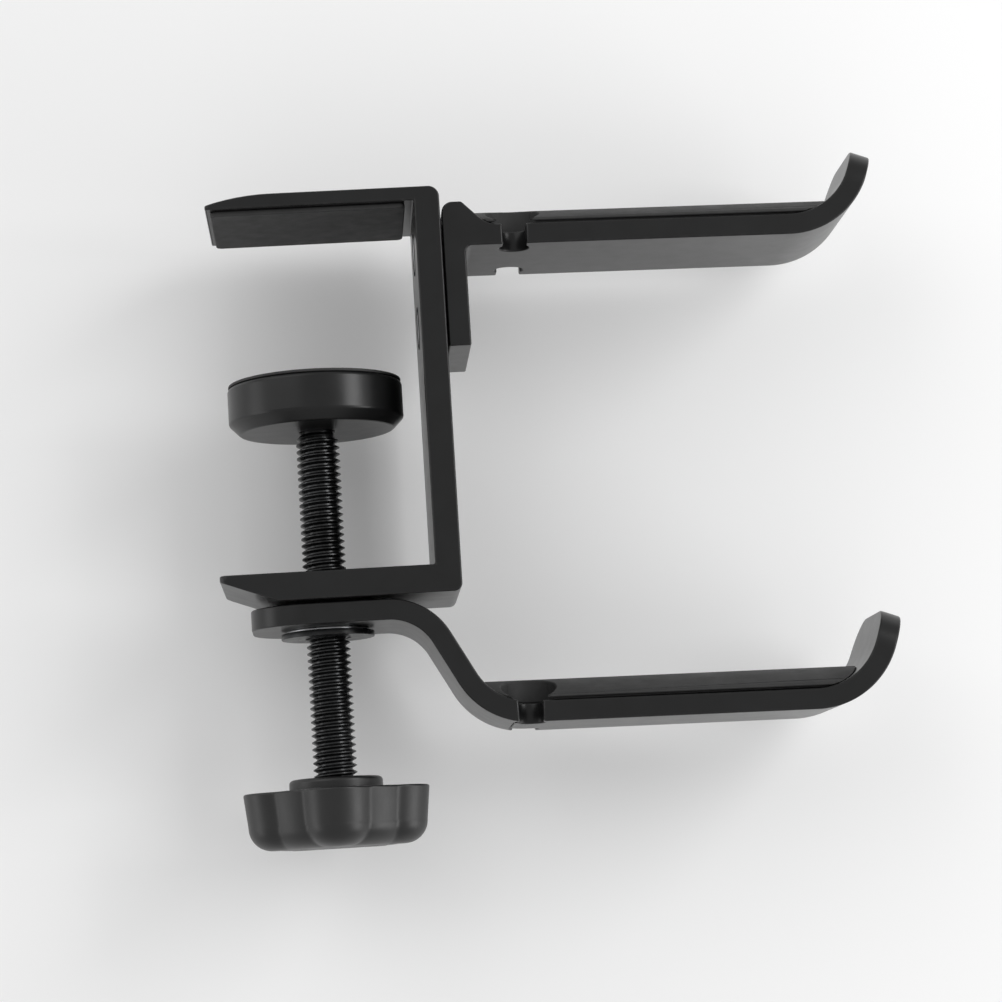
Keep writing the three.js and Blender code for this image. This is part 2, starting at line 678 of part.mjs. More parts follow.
addPiece("knob", knob(), "knob");
addPiece("knob_collar", knobCollar(), "knob");
addPiece(
  "knob_insert",
  tube(SCREW_RADIUS + FIT_GAP, INSERT_RADIUS, KNOB_TOP_Z - INSERT_LENGTH, KNOB_TOP_Z, SMALL_SIDES),
  "steel",
);
addPiece("knob_cap", rod(CAP_RADIUS, knobBottomZ, knobBottomZ + CAP_THICKNESS), "knob");

export default hanger;
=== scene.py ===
"""Visual model of a double headphone hanger with a desk clamp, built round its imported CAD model.

Shapes are modelled in millimetres, in the CAD frame: +Z up, +X from the clamp towards the hooks, +Y from
the front edge to the back, origin on the screw's axis where the upper jaw's pad rests on the desk top.
Each piece is scaled to metres when it is finished.
"""

import math

import bmesh
import bpy
from mathutils import Matrix, Vector


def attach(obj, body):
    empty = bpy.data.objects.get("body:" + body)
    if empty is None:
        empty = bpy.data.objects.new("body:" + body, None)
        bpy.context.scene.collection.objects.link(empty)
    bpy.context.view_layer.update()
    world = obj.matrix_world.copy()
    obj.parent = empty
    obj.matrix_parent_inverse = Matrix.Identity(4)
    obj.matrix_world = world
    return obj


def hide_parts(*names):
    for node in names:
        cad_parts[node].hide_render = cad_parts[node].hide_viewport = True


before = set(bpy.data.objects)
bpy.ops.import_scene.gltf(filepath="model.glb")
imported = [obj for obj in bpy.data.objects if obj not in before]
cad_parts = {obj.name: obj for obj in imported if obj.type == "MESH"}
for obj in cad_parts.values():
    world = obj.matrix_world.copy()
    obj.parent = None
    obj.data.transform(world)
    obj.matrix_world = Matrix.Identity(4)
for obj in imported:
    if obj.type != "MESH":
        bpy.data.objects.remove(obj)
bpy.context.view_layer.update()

# ---------------------------------------------------------------- driving dimensions, mm and degrees

MM = 0.001
FIT_GAP = 0.2
REST_GAP = 0.1

# Clamp frame
FRAME_WIDTH = 30
WEB_INNER_X = 19.9
WEB_THICKNESS = 4.7
THROAT = 67
UPPER_JAW_THICKNESS = 2.55
LOWER_JAW_THICKNESS = 5.05
UPPER_TIP_X = -18.2
LOWER_TIP_X = -18.8
UPPER_TAPER_LENGTH = 12
UPPER_TIP_THICKNESS = 0.8
LOWER_TAPER_LENGTH = 10.2
LOWER_TIP_THICKNESS = 1.2
UPPER_CORNER_RADIUS = 2
LOWER_CORNER_RADIUS = 1.5
JAW_PLAN_RADIUS = 1.4
JAW_PAD_THICKNESS = 1
JAW_PAD_INSET = 1.6
JAW_PAD_TIP_INSET = 0.9
JAW_PAD_CORNER_RADIUS = 1.2

# Both hooks
HOOK_WIDTH = 27.6
PLATE_THICKNESS = 3.8
DROOP = 0.85
TIP_ANGLE = 69.3
TIP_BEND_RADIUS = 13.8
TIP_PLAN_RADIUS = 7
PAD_EDGE_HEIGHT = 1
PAD_CROWN_HEIGHT = 4.65
PAD_SIDE_INSET = 0.4
PAD_REBATE_HEIGHT = 0.5
PAD_REBATE_DEPTH = 0.9
NOTCH_MOUTH = 4.3
NOTCH_JAMB_RADIUS = 0.45
NOTCH_POCKET_RADIUS = 2.7
NOTCH_POCKET_INSET = 4.3
PAD_HOLE_RADIUS = 5

# Fixed upper hook
BRACKET_GAP = 0.3
BRACKET_THICKNESS = 4.05
BRACKET_TOP_Z = 0.65
BRACKET_BOTTOM_Z = -26.2
BRACKET_ROUND = 2
BRACKET_CREST = 1.7
RAMP_ANGLE = 45
RAMP_RADIUS = 5
ROOT_FILLET = 1.3
UPPER_ARM_MID_Z = -5.76
UPPER_ARM_START_X = 30
UPPER_ARM_RUN = 58.8
UPPER_TIP_RUN = 5.2
UPPER_NOTCH_X = 38.05

# Swivelling lower hook
SWIVEL_WASHER_THICKNESS = 0.6
SWIVEL_END_X = -13.8
SWIVEL_END_RADIUS = 10
SWIVEL_PLATE_RUN = 24.7
SHOULDER_RADIUS = 10.8
SLANT_ANGLE = 61
SLANT_RUN = 8.74
ELBOW_RADIUS = 12.8
LOWER_ARM_RUN = 51.7
LOWER_TIP_RUN = 6.7
LOWER_NOTCH_X = 35.6

# Swivel bushing and washers
BUSHING_RADIUS = 6
BUSHING_RIM = 0.4
FLANGE_RADIUS = 8.55
FLANGE_THICKNESS = 1.05
SPRING_WASHER_THICKNESS = 0.5
SPRING_WASHER_RADIUS = 7.6
FRICTION_WASHER_RADIUS = 8.4

# Bracket screws, M4 countersunk with a hexagon socket
M4_RADIUS = 2
M4_HEAD_RADIUS = 3.8
M4_HEAD_HEIGHT = 2.2
M4_LENGTH = 8.2
M4_SOCKET_RADIUS = 1.45
M4_SOCKET_DEPTH = 1.4
BRACKET_SCREW_Z = {"upper_bracket_screw": -6, "lower_bracket_screw": -20}

# Clamp screw, M8
SCREW_RADIUS = 4
THREAD_PITCH = 1.25
THREAD_DEPTH = 0.77
SCREW_END_Z = -112.4
SCREW_CHAMFER = 1
NECK_RADIUS = 3
NECK_LENGTH = 0.4
BALL_RADIUS = 3.9
BALL_Z = -34.8

# Corners of the thread's section, as shares of the pitch
THREAD_ROOT_END = 0.21
THREAD_CREST_START = 0.53
THREAD_CREST_END = 0.68

# Pressure disc
DISC_RADIUS = 16.2
DISC_BOTTOM_Z = -38.6
DISC_HEIGHT = 8.7
DISC_CHAMFER = 2
DISC_EDGE = 0.5
DISC_PAD_THICKNESS = 0.5
DISC_PAD_RADIUS = 16
DISC_LIP_RADIUS = 3.3

# Knob
LOBES = 5
LOBE_CENTRE_RADIUS = 10.8
LOBE_RADIUS = 6.6
KNOB_CORE_RADIUS = 14.9
VALLEY_BLEND = 0.5
KNOB_TOP_Z = -104.8
KNOB_HEIGHT = 10.4
KNOB_DRAFT = 0.65
KNOB_BOTTOM_ROUND = 4.2
KNOB_TOP_ROUND = 0.4
KNOB_TURN = -90
COLLAR_RADIUS = 8.55
COLLAR_HEIGHT = 2.2
COLLAR_ROUND = 0.8
INSERT_RADIUS = 6
INSERT_LENGTH = 8
CAP_RADIUS = 7
CAP_THICKNESS = 1.1

# Edge rounding
METAL_EDGE = 0.32
RUBBER_EDGE = 0.3
SMALL_EDGE = 0.15
EDGE_SEGMENTS = 3
SHARP_ANGLE = 32

# Facets: the turn of one facet of a bend, the sides of round things, and the share of the points of the
# knob's top rounding that are kept, one in so many
BEND_STEP = 3
ROUND_SIDES = 128
SMALL_SIDES = 64
THREAD_SIDES = 48
KNOB_SIDES = 300
HEXAGON_SIDES = 6
KNOB_TOP_STRIDE = 6

# How far a tool runs past what it cuts, and the turns of thread drawn past each end of the screw
OVERRUN = 1
TALL = 10
LONG = 120
SPARE_TURNS = 2

# The radius given to a ring on the axis, and how close two points are before they are made one
AXIS_RADIUS = 1e-7
WELD_DISTANCE = 1e-5

# ---------------------------------------------------------------- derived positions

jaw_under_z = JAW_PAD_THICKNESS
frame_top_z = jaw_under_z + UPPER_JAW_THICKNESS
lower_jaw_z = jaw_under_z - THROAT
frame_bottom_z = lower_jaw_z - LOWER_JAW_THICKNESS
web_outer_x = WEB_INNER_X + WEB_THICKNESS
bracket_left_x = web_outer_x + BRACKET_GAP
bracket_right_x = bracket_left_x + BRACKET_THICKNESS
plate_top_z = frame_bottom_z - SWIVEL_WASHER_THICKNESS
plate_bottom_z = plate_top_z - PLATE_THICKNESS
flange_top_z = plate_bottom_z - SPRING_WASHER_THICKNESS
washer_bore = BUSHING_RADIUS + FIT_GAP
disc_top_z = DISC_BOTTOM_Z + DISC_HEIGHT
neck_end_z = DISC_BOTTOM_Z - NECK_LENGTH
screw_end_radius = SCREW_RADIUS - SCREW_CHAMFER
screw_bore = SCREW_RADIUS + FIT_GAP
knob_bottom_z = KNOB_TOP_Z - KNOB_HEIGHT
notch_y = HOOK_WIDTH / 2 - NOTCH_POCKET_INSET

# ---------------------------------------------------------------- outlines


def polar(radius, degrees):
    """A point at a distance and direction from the origin."""
    angle = math.radians(degrees)
    return Vector((radius * math.cos(angle), radius * math.sin(angle)))


def arc(x, y, radius, start, end):
    """Points on an arc, from one angle to the other in degrees, ends included."""
    count = max(2, math.ceil(abs(end - start) / BEND_STEP))
    centre = Vector((x, y))
    return [centre + polar(radius, start + (end - start) * i / count) for i in range(count + 1)]


def trace(start, heading, steps, offset=0.0):
    """Points along a path of straight runs and bends, each moved offset to the left of the path.

    A step is a run, as a number, or a bend, as (radius, turn), with turn in degrees, positive to the left.
    """
    at, angle = Vector(start), heading
    points = [at + polar(offset, angle + 90)]
    for step in steps:
        if not isinstance(step, tuple):
            at = at + polar(step, angle)
            points.append(at + polar(offset, angle + 90))
            continue
        radius, turn = step
        count = math.ceil(abs(turn) / BEND_STEP)
        half = turn / count / 2
        for _ in range(count):
            at = at + polar(2 * radius * math.sin(math.radians(abs(half))), angle + half)
            angle += 2 * half
            points.append(at + polar(offset, angle + 90))
    return points


def rounded_plan(min_x, max_x, half_width, radius):
    """A rectangle in plan with its corners rounded."""
    left, right, side = min_x + radius, max_x - radius, half_width - radius
    return [
        *arc(left, -side, radius, 180, 270),
        *arc(right, -side, radius, 270, 360),
        *arc(right, side, radius, 0, 90),
        *arc(left, side, radius, 90, 180),
    ]


# ---------------------------------------------------------------- solids


def solid(points, faces):
    """A closed mesh object in millimetres, with its faces turned outwards."""
    mesh = bpy.data.meshes.new("solid")
    mesh.from_pydata([tuple(p) for p in points], [], faces)
    made = bmesh.new()
    made.from_mesh(mesh)
    bmesh.ops.remove_doubles(made, verts=made.verts, dist=WELD_DISTANCE)
    bmesh.ops.dissolve_degenerate(made, edges=made.edges, dist=WELD_DISTANCE)
    bmesh.ops.recalc_face_normals(made, faces=made.faces)
    made.to_mesh(mesh)
    made.free()
    thing = bpy.data.objects.new("solid", mesh)
    bpy.context.scene.collection.objects.link(thing)
    return thing


def band(first, second, count):
    """The faces between two rings of points, from the number of each ring's first point."""
    faces = []
    for i in range(count):
        j = (i + 1) % count
        faces.append([first + i, first + j, second + j, second + i])
    return faces


def rings_solid(rings):
    """A solid from rings of points, each joined to the next, with the first and last filled in."""
    count = len(rings[0])
    points = [p for row in rings for p in row]
    faces = [list(range(count)), list(range(len(points) - count, len(points)))]
    for base in range(0, len(points) - count, count):
        faces.extend(band(base, base + count, count))
    return solid(points, faces)


def side_prism(outline, width):
    """A prism of an outline in x and z, centred on y = 0."""
    return rings_solid([[(x, y, z) for x, z in outline] for y in (-width / 2, width / 2)])


def end_prism(outline, from_x, to_x):
    """A prism of an outline in y and z, from one x to another."""
    return rings_solid([[(x, y, z) for y, z in outline] for x in (from_x, to_x)])


def plan_prism(outline, bottom_z, top_z):
    """A prism of an outline in x and y, from one height to another."""
    return rings_solid([[(x, y, z) for x, y in outline] for z in (bottom_z, top_z)])


def ring(radius, z, sides):
    """Points of a level circle."""
    return [(*polar(radius, 360 * i / sides), z) for i in range(sides)]


def turned(profile, sides=ROUND_SIDES, hollow=False):
    """A turned piece on the z axis, from (radius, z) pairs. A hollow one's profile closes on itself."""
    if not hollow:
        return rings_solid([ring(max(radius, AXIS_RADIUS), z, sides) for radius, z in profile])
    points = [p for radius, z in profile for p in ring(radius, z, sides)]
    faces = []
    for k in range(len(profile)):
        faces.extend(band(k * sides, (k + 1) % len(profile) * sides, sides))
    return solid(points, faces)


def tube(inner, outer, bottom_z, top_z, sides=ROUND_SIDES):
    """A plain tube."""
    profile = [(inner, bottom_z), (outer, bottom_z), (outer, top_z), (inner, top_z)]
    return turned(profile, sides, hollow=True)


def rod(radius, bottom_z, top_z, sides=SMALL_SIDES):
    """A plain cylinder."""
    return turned([(radius, bottom_z), (radius, top_z)], sides)


def moved(thing, *matrices):
    """The solid after each of the matrices in turn."""
    for matrix in matrices:
        thing.data.transform(matrix)
    return thing


def shift(x=0.0, y=0.0, z=0.0):
    """A matrix that moves by that much."""
    return Matrix.Translation((x, y, z))


def spin(degrees, axis):
    """A matrix that turns about an axis through the origin."""
    return Matrix.Rotation(math.radians(degrees), 4, axis)


def settle(thing):
    """Applies the modifiers of a solid."""
    bpy.context.view_layer.update()
    graph = bpy.context.evaluated_depsgraph_get()
    mesh = bpy.data.meshes.new_from_object(thing.evaluated_get(graph), depsgraph=graph)
    thing.modifiers.clear()
    thing.data = mesh
    return thing


def combine(base, tools, operation):
    """The first solid cut by, cut to, or joined with each of the tools, which are used up."""
    for tool in tools:
        step = base.modifiers.new("combine", "BOOLEAN")
        step.operation = operation
        step.solver = "EXACT"
        step.object = tool
    settle(base)
    for tool in tools:
        bpy.data.objects.remove(tool)
    return base


def cut(base, *tools):
    """The first solid with the others taken away."""
    return combine(base, tools, "DIFFERENCE")


def common(base, *tools):
    """What the solids have in common."""
    return combine(base, tools, "INTERSECT")


def round_edges(thing, width):
    """Rounds the edges of a solid that are sharper than the sharp angle."""
    step = thing.modifiers.new("edges", "BEVEL")
    step.width = width
    step.segments = EDGE_SEGMENTS
    step.limit_method = "ANGLE"
    step.angle_limit = math.radians(SHARP_ANGLE)
    step.use_clamp_overlap = False
    return settle(thing)


def piece(name, thing, body, material, edge=METAL_EDGE):
    """Makes a solid the visible piece of the CAD node of the same name."""
    if edge:
        round_edges(thing, edge)
    moved(thing, Matrix.Scale(MM, 4))
    thing.name = name + "_skin"
    thing.data.name = thing.name
    thing.data.shade_smooth()
    thing.data.set_sharp_from_angle(angle=math.radians(SHARP_ANGLE))
    weights = thing.modifiers.new("normals", "WEIGHTED_NORMAL")
    weights.keep_sharp = True
    thing.data.materials.clear()
    thing.data.materials.append(material)
    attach(thing, body)
    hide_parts(name)
    return thing


# ---------------------------------------------------------------- materials

# The colour sockets of a Mix node, which share their names with its other sockets
MIX_FIRST = 6
MIX_SECOND = 7
MIX_RESULT = 2

# Wear shows where a normal rounded over this radius leans from the true one: the cosines of none and full
WEAR_RADIUS_MM = 0.45
WEAR_SAMPLES = 4
WEAR_NONE = 0.995
WEAR_FULL = 0.9

# The part of each noise's range that is stretched over the whole effect
BLOTCH_RANGE = (0.3, 0.7)
CHIP_RANGE = (0.42, 0.68)
GLOSS_RANGE = (0.25, 0.75)

# Sizes of the noises, and the strengths of the two layers of bump
CHIP_MM = 1.3
MOTTLE_MM = 6.0
GLOSS_SHARE_OF_MOTTLE = 0.6
PEEL_SHARE_OF_GRAIN = 4
PEEL_STRENGTH = 0.6
GRAIN_STRENGTH = 0.8


class Nodes:
    """Builds one material's nodes, with short calls for the ones used here."""

    def __init__(self, name):
        self.material = bpy.data.materials.new(name)
        self.material.use_nodes = True
        self.tree = self.material.node_tree
        self.shader = self.tree.nodes["Principled BSDF"]
        self.place = self.tree.nodes.new("ShaderNodeTexCoord").outputs["Object"]

    def join(self, source, target):
        """Links an output to an input."""
        self.tree.links.new(source, target)

    def noise(self, size_mm, detail, roughness=0.55):
        """Noise from 0 to 1 whose features are about that size."""
        node = self.tree.nodes.new("ShaderNodeTexNoise")
        node.inputs["Scale"].default_value = 1 / (size_mm * MM)
        node.inputs["Detail"].default_value = detail
        node.inputs["Roughness"].default_value = roughness
        self.join(self.place, node.inputs["Vector"])
        return node.outputs["Fac"]

    def ramp(self, value, low, high, to_low=0.0, to_high=1.0):
        """The value's range low to high, mapped to another range and clamped."""
        node = self.tree.nodes.new("ShaderNodeMapRange")
        self.join(value, node.inputs["Value"])
        numbers = {"From Min": low, "From Max": high, "To Min": to_low, "To Max": to_high}
        for socket, number in numbers.items():
            node.inputs[socket].default_value = number
        return node.outputs["Result"]

    def product(self, first, second):
        """The product of two values, each a number or an output."""
        node = self.tree.nodes.new("ShaderNodeMath")
        node.operation = "MULTIPLY"
        for socket, value in zip(node.inputs, (first, second)):
            if isinstance(value, (int, float)):
                socket.default_value = value
            else:
                self.join(value, socket)
        return node.outputs["Value"]

    def mix(self, factor, first, second):
        """A mix of two colours, each a colour or an output."""
        node = self.tree.nodes.new("ShaderNodeMix")
        node.data_type = "RGBA"
        self.join(factor, node.inputs["Factor"])
        for socket, colour in ((node.inputs[MIX_FIRST], first), (node.inputs[MIX_SECOND], second)):
            if isinstance(colour, tuple):
                socket.default_value = (*colour, 1)
            else:
                self.join(colour, socket)
        return node.outputs[MIX_RESULT]

    def edges(self):
        """Near 1 on edges and 0 on flat surfaces, from how far a rounded normal leans from the true one."""
        rounded = self.tree.nodes.new("ShaderNodeBevel")
        rounded.samples = WEAR_SAMPLES
        rounded.inputs["Radius"].default_value = WEAR_RADIUS_MM * MM
        geometry = self.tree.nodes.new("ShaderNodeNewGeometry")
        lean = self.tree.nodes.new("ShaderNodeVectorMath")
        lean.operation = "DOT_PRODUCT"
        self.join(rounded.outputs["Normal"], lean.inputs[0])
        self.join(geometry.outputs["Normal"], lean.inputs[1])
        return self.ramp(lean.outputs["Value"], WEAR_NONE, WEAR_FULL)

    def bump(self, height, depth_mm, strength, under=None):
        """Bump from a height, over another layer of bump if one is given."""
        node = self.tree.nodes.new("ShaderNodeBump")
        node.inputs["Strength"].default_value = strength
        node.inputs["Distance"].default_value = depth_mm * MM
        self.join(height, node.inputs["Height"])
        if under is not None:
            self.join(under, node.inputs["Normal"])
        return node.outputs["Normal"]


def finish(name, tones, rough, grain_mm, grain_depth_mm, metal=0.0, wear=0.6, shine=0.5):
    """A procedural finish: two close tones in soft blotches, worn edges, uneven gloss and a fine grain.

    The tones are the darker, the lighter and the worn one, and rough is the range of the roughness.
    """
    dark, light, worn = tones
    made = Nodes(name)
    blotches = made.noise(MOTTLE_MM, detail=4)
    grain = made.noise(grain_mm, detail=2)
    tone = made.mix(made.ramp(blotches, *BLOTCH_RANGE), dark, light)
    chips = made.ramp(made.noise(CHIP_MM, detail=5, roughness=0.7), *CHIP_RANGE)
    rubbed = made.product(made.product(made.edges(), chips), wear)
    made.join(made.mix(rubbed, tone, worn), made.shader.inputs["Base Color"])
    gloss_noise = made.noise(MOTTLE_MM * GLOSS_SHARE_OF_MOTTLE, detail=5)
    made.join(made.ramp(gloss_noise, *GLOSS_RANGE, *rough), made.shader.inputs["Roughness"])
    made.shader.inputs["Metallic"].default_value = metal
    made.shader.inputs["Specular IOR Level"].default_value = shine
    peel_noise = made.noise(grain_mm * PEEL_SHARE_OF_GRAIN, detail=2)
    orange_peel = made.bump(peel_noise, grain_depth_mm, PEEL_STRENGTH)
    made.join(made.bump(grain, grain_depth_mm, GRAIN_STRENGTH, orange_peel), made.shader.inputs["Normal"])
    return made.material


def grey(value, tint=0.0):
    """A grey, a little bluer as tint grows."""
    return (value * (1 - tint), value, value * (1 + tint))


coat = finish(
    "satin_black_coat",
    tones=(grey(0.006), grey(0.0085, 0.02), grey(0.05)),
    rough=(0.28, 0.32),
    grain_mm=0.16,
    grain_depth_mm=0.0015,
    shine=0.33,
)
rubber = finish(
    "moulded_rubber",
    tones=(grey(0.015), grey(0.022), grey(0.045)),
    rough=(0.62, 0.78),
    grain_mm=0.22,
    grain_depth_mm=0.01,
    wear=0.4,
)
oxide = finish(
    "black_oxide_steel",
    tones=(grey(0.02), grey(0.035, 0.04), grey(0.12)),
    rough=(0.24, 0.36),
    grain_mm=0.12,
    grain_depth_mm=0.003,
    metal=0.85,
)
zinc = finish(
    "zinc_plated_steel",
    tones=(grey(0.42, 0.02), grey(0.55, 0.02), grey(0.7)),
    rough=(0.24, 0.4),
    grain_mm=0.15,
    grain_depth_mm=0.003,
    metal=1.0,
)
nylon = finish(
    "black_nylon",
    tones=(grey(0.014), grey(0.02), grey(0.04)),
    rough=(0.45, 0.58),
    grain_mm=0.3,
    grain_depth_mm=0.004,
    wear=0.2,
)
plastic = finish(
    "moulded_plastic",
    tones=(grey(0.006), grey(0.009), grey(0.04)),
    rough=(0.36, 0.44),
    grain_mm=0.12,
    grain_depth_mm=0.003,
    wear=0.35,
)


def rubber_pad(name, thing, body, edge):
    """Makes a solid the visible rubber pad of the CAD node of the same name, in moulded rubber."""
    piece(name, thing, body, rubber, edge)


# ---------------------------------------------------------------- clamp frame and its pad


def clamp_frame_outline():
    """The side view of the C, anticlockwise from the inner corner of the upper jaw."""
    taper_drop = UPPER_JAW_THICKNESS - UPPER_TIP_THICKNESS
    taper_radius = (UPPER_TAPER_LENGTH**2 + taper_drop**2) / (2 * taper_drop)
    taper_angle = math.degrees(math.asin(UPPER_TAPER_LENGTH / taper_radius))
    taper_x = UPPER_TIP_X + UPPER_TAPER_LENGTH
    upper_corner = (web_outer_x - UPPER_CORNER_RADIUS, frame_top_z - UPPER_CORNER_RADIUS)
    lower_corner = (web_outer_x - LOWER_CORNER_RADIUS, frame_bottom_z + LOWER_CORNER_RADIUS)
    return [
        (WEB_INNER_X, jaw_under_z),
        (WEB_INNER_X, lower_jaw_z),
        (LOWER_TIP_X, lower_jaw_z),
        (LOWER_TIP_X, lower_jaw_z - LOWER_TIP_THICKNESS),
        (LOWER_TIP_X + LOWER_TAPER_LENGTH, frame_bottom_z),
        *arc(*lower_corner, LOWER_CORNER_RADIUS, -90, 0),
        *arc(*upper_corner, UPPER_CORNER_RADIUS, 0, 90),
        *arc(taper_x, frame_top_z - taper_radius, taper_radius, 90, 90 + taper_angle),
        (UPPER_TIP_X, jaw_under_z),
    ]


def bracket_screw_hole(z):
    """The hole for a bracket screw, countersunk from the inner face of the web."""
    profile = [
        (M4_HEAD_RADIUS + FIT_GAP, -OVERRUN),
        (M4_HEAD_RADIUS + FIT_GAP, FIT_GAP),
        (M4_RADIUS + FIT_GAP, M4_HEAD_HEIGHT + FIT_GAP),
        (M4_RADIUS + FIT_GAP, M4_LENGTH + FIT_GAP),
    ]
    return moved(turned(profile, SMALL_SIDES), spin(90, "Y"), shift(WEB_INNER_X, 0, z))


def clamp_frame():
    """The C-shaped frame, bored for the bushing and the bracket screws."""
    bar = side_prism(clamp_frame_outline(), FRAME_WIDTH)
    plan = rounded_plan(LOWER_TIP_X, web_outer_x + JAW_PLAN_RADIUS, FRAME_WIDTH / 2, JAW_PLAN_RADIUS)
    rounded = common(bar, plan_prism(plan, frame_bottom_z - OVERRUN, frame_top_z + OVERRUN))
    bushing_hole = rod(washer_bore, frame_bottom_z - OVERRUN, lower_jaw_z + OVERRUN, ROUND_SIDES)
    return cut(rounded, bushing_hole, *map(bracket_screw_hole, BRACKET_SCREW_Z.values()))


def jaw_pad():
    """The rubber sheet under the upper jaw."""
    from_x, to_x = UPPER_TIP_X + JAW_PAD_TIP_INSET, WEB_INNER_X - JAW_PAD_INSET
    plan = rounded_plan(from_x, to_x, FRAME_WIDTH / 2 - JAW_PAD_INSET, JAW_PAD_CORNER_RADIUS)
    return plan_prism(plan, 0, JAW_PAD_THICKNESS)


piece("clamp_frame", clamp_frame(), "clamp", coat)
rubber_pad("jaw_pad", jaw_pad(), "clamp", RUBBER_EDGE)

# ---------------------------------------------------------------- what both hooks share


def notch_tool(x, side, bottom_z, top_z):
    """A keyhole from one edge of the plate: a round pocket, and a mouth whose jambs flare at the edge."""
    edge_y, half, flare = HOOK_WIDTH / 2, NOTCH_MOUTH / 2, NOTCH_JAMB_RADIUS
    reach = math.degrees(math.asin(half / NOTCH_POCKET_RADIUS))
    outline = [
        *arc(half + flare, edge_y - flare, flare, 90, 180),
        *(Vector((0, notch_y)) + p for p in arc(0, 0, NOTCH_POCKET_RADIUS, 90 - reach, -270 + reach)),
        *arc(-half - flare, edge_y - flare, flare, 0, 90),
        (-half - flare, edge_y + OVERRUN),
        (half + flare, edge_y + OVERRUN),
    ]
    return plan_prism([(x + px, side * py) for px, py in outline], bottom_z, top_z)


def tip_corner_tool(side, end):
    """The tool that rounds one outer corner of a tip, in the plane of the plate, whose mid-end is given."""
    centre = HOOK_WIDTH / 2 - TIP_PLAN_RADIUS
    outline = [
        *arc(centre, -TIP_PLAN_RADIUS, TIP_PLAN_RADIUS, 90, 0),
        (HOOK_WIDTH, -TIP_PLAN_RADIUS),
        (HOOK_WIDTH, OVERRUN),
        (centre, OVERRUN),
    ]
    corner = end_prism([(side * y, z) for y, z in outline], -PLATE_THICKNESS, PLATE_THICKNESS)
    return moved(corner, spin(90 - TIP_ANGLE, "Y"), shift(end.x, 0, end.y))


def hook_plate(outline, end, notch_x, bottom_z, top_z):
    """A hook's plate: its outline as a prism, with two notches and a rounded tip."""
    tools = []
    for side in (-1, 1):
        tools.append(notch_tool(notch_x, side, bottom_z, top_z))
        tools.append(tip_corner_tool(side, end))
    return cut(side_prism(outline, HOOK_WIDTH), *tools)


def saddle_pad(space, start, notch_x):
    """A saddle pad: flat underneath and crowned across, filling the space between a hook's two bends."""
    half = HOOK_WIDTH / 2 - PAD_SIDE_INSET
    rise = PAD_CROWN_HEIGHT - PAD_EDGE_HEIGHT
    radius = (half**2 + rise**2) / (2 * rise)
    angle = math.degrees(math.asin(half / radius))
    crown = arc(0, PAD_CROWN_HEIGHT - radius, radius, 90 - angle, 90 + angle)
    foot = half - PAD_REBATE_DEPTH
    right = [(foot, REST_GAP - OVERRUN), (foot, PAD_REBATE_HEIGHT), (half, PAD_REBATE_HEIGHT)]
    left = [(-y, z) for y, z in reversed(right)]
    section = [*right, *crown, *left]
    bar = moved(end_prism(section, -LONG, LONG), spin(DROOP, "Y"), shift(start[0], 0, start[1]))
    pad = common(bar, side_prism(space, HOOK_WIDTH))
    holes = [
        moved(rod(PAD_HOLE_RADIUS, start[1] - TALL, start[1] + TALL), shift(notch_x, side * notch_y))
        for side in (-1, 1)
    ]
    return cut(pad, *holes)


# ---------------------------------------------------------------- fixed upper hook

upper_arm_start = (UPPER_ARM_START_X, UPPER_ARM_MID_Z)
upper_arm_steps = [UPPER_ARM_RUN, (TIP_BEND_RADIUS, TIP_ANGLE + DROOP), UPPER_TIP_RUN]


def ramp_points(offset):
    """The ramp from the bracket's crest down to the arm's upper face."""
    crest_x = bracket_left_x + BRACKET_ROUND + BRACKET_CREST
    turn = RAMP_ANGLE - DROOP
    slope = math.tan(math.radians(DROOP))
    arm_top_z = UPPER_ARM_MID_Z + PLATE_THICKNESS / 2
    above_arm = BRACKET_TOP_Z - arm_top_z + slope * (crest_x - UPPER_ARM_START_X)
    drop = above_arm / (1 - slope / math.tan(math.radians(RAMP_ANGLE)))
    run = drop / math.sin(math.radians(RAMP_ANGLE)) - RAMP_RADIUS * math.tan(math.radians(turn / 2))
    return trace((crest_x, BRACKET_TOP_Z), -RAMP_ANGLE, [run, (RAMP_RADIUS, turn)], offset)


def upper_hook_outline():
    """The side view of the bracket and its arm."""
    half = PLATE_THICKNESS / 2
    above = trace(upper_arm_start, -DROOP, upper_arm_steps, half)[1:]
    below = trace(upper_arm_start, -DROOP, upper_arm_steps, -half)[1:]
    fillet = (bracket_right_x + ROOT_FILLET, UPPER_ARM_MID_Z - half - ROOT_FILLET)
    return [
        *arc(bracket_left_x + BRACKET_ROUND, BRACKET_TOP_Z - BRACKET_ROUND, BRACKET_ROUND, 180, 90),
        *ramp_points(0),
        *above,
        *reversed(below),
        *arc(*fillet, ROOT_FILLET, 90, 180),
        (bracket_right_x, BRACKET_BOTTOM_Z),
        (bracket_left_x, BRACKET_BOTTOM_Z),
    ]


def upper_hook():
    """The fixed hook, drilled for its two screws."""
    bottom_z, top_z = UPPER_ARM_MID_Z - TALL, UPPER_ARM_MID_Z + TALL
    end = trace(upper_arm_start, -DROOP, upper_arm_steps)[-1]
    plate = hook_plate(upper_hook_outline(), end, UPPER_NOTCH_X, bottom_z, top_z)
    return cut(plate, *map(bracket_screw_hole, BRACKET_SCREW_Z.values()))


def upper_hook_pad():
    """The fixed hook's saddle pad."""
    lift = PLATE_THICKNESS / 2 + REST_GAP
    space = [*ramp_points(REST_GAP), *trace(upper_arm_start, -DROOP, upper_arm_steps, lift)[1:]]
    return saddle_pad(space, (UPPER_ARM_START_X, UPPER_ARM_MID_Z + PLATE_THICKNESS / 2), UPPER_NOTCH_X)


